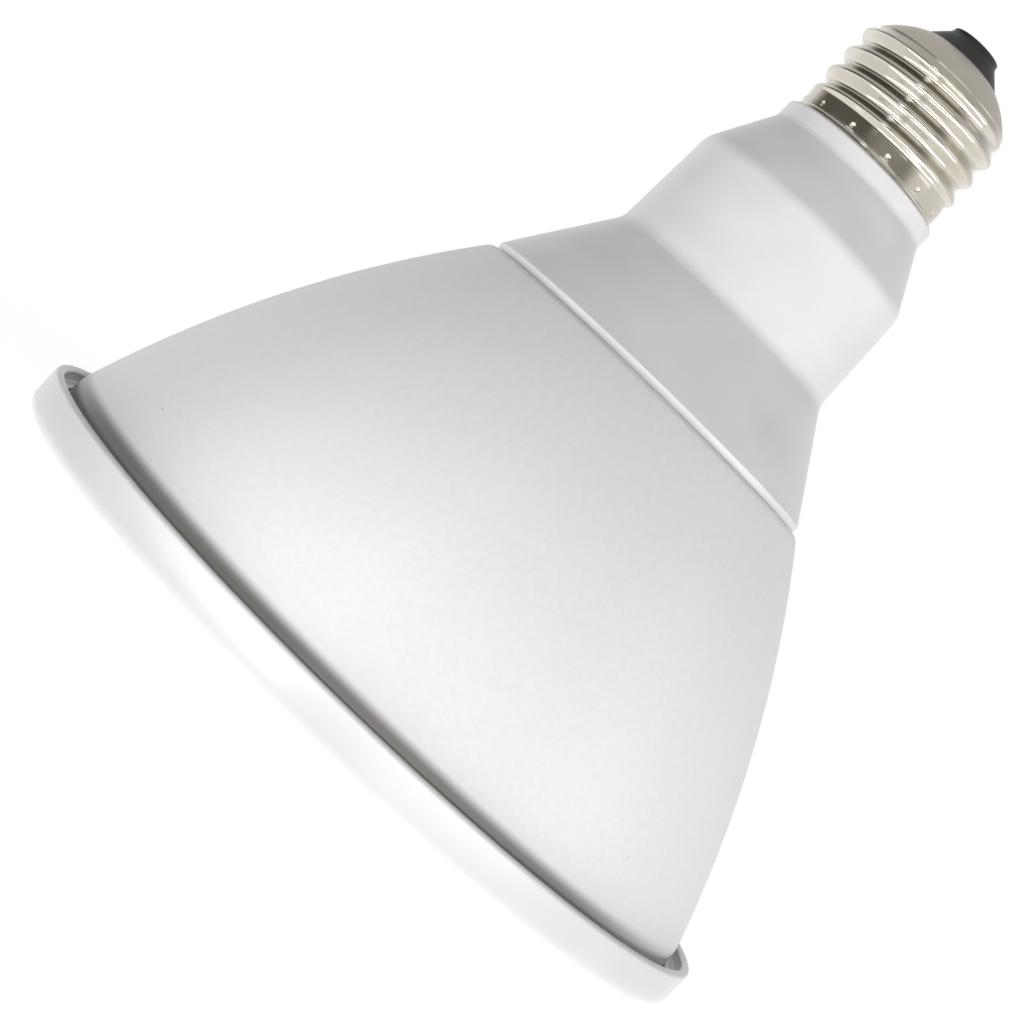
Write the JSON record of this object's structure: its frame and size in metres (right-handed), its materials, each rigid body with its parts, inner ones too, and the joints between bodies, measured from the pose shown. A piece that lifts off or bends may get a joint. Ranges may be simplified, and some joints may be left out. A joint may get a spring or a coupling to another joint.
{
  "type": "par spotlight bulb",
  "caption": "Reflector-shaped LED spotlight lamp with a front ring, a curved bowl, a stepped neck and a medium screw base.",
  "frame": {"origin": "centre of the flat land on the front of the ring, on the lamp's axis", "axes": "+Z along the lamp's axis, from the front ring to the centre contact; the lamp stands on its ring with the base up"},
  "size_m": [0.1218, 0.1218, 0.128],
  "materials": {
    "white_plastic": "gloss",
    "clear_plastic": "clear gloss",
    "aluminised_plastic": "vacuum-metallised",
    "silver_paint": "satin",
    "aluminium_plate": "milled",
    "zinc_steel": "zinc-plated",
    "white_board": "white solder mask",
    "led_package": "phosphor under silicone",
    "connector_nylon": "matt",
    "tinned_pin": "tinned",
    "board_laminate": "green solder mask",
    "ferrite": "matt",
    "winding_tape": "polyester tape",
    "capacitor_sleeve": "shrunk sleeve",
    "film_case": "dipped",
    "black_moulding": "moulded epoxy",
    "resistor_lacquer": "lacquer",
    "lead_sleeve": "silicone sleeve",
    "nickel_plate": "nickel-plated, bright",
    "black_insulator": "satin"
  },
  "bodies": {
    "root": {"front_ring": "white_plastic", "front_lens": "clear_plastic", "reflector": "aluminised_plastic", "bowl_shell": "silver_paint", "heat_spreader": "aluminium_plate", "spreader_screws": "zinc_steel", "led_board": "white_board", "led_connector": "connector_nylon", "led_pins": "tinned_pin", "neck_housing": "white_plastic", "driver_board": "board_laminate", "transformer_winding": "winding_tape", "transformer_core": "ferrite", "bulk_capacitor": "capacitor_sleeve", "output_capacitor": "capacitor_sleeve", "film_capacitor": "film_case", "line_choke": "black_moulding", "rectifier": "black_moulding", "control_chip": "black_moulding", "switch_transistor": "black_moulding", "fuse_resistor": "resistor_lacquer", "screw_shell": "nickel_plate", "base_insulator": "black_insulator", "centre_contact": "nickel_plate", "live_lead": "lead_sleeve", "neutral_lead": "lead_sleeve", "led_1": "led_package", "led_2": "led_package", "led_3": "led_package", "led_4": "led_package", "led_5": "led_package", "led_6": "led_package", "led_7": "led_package", "led_8": "led_package"}
  },
  "joints": []
}
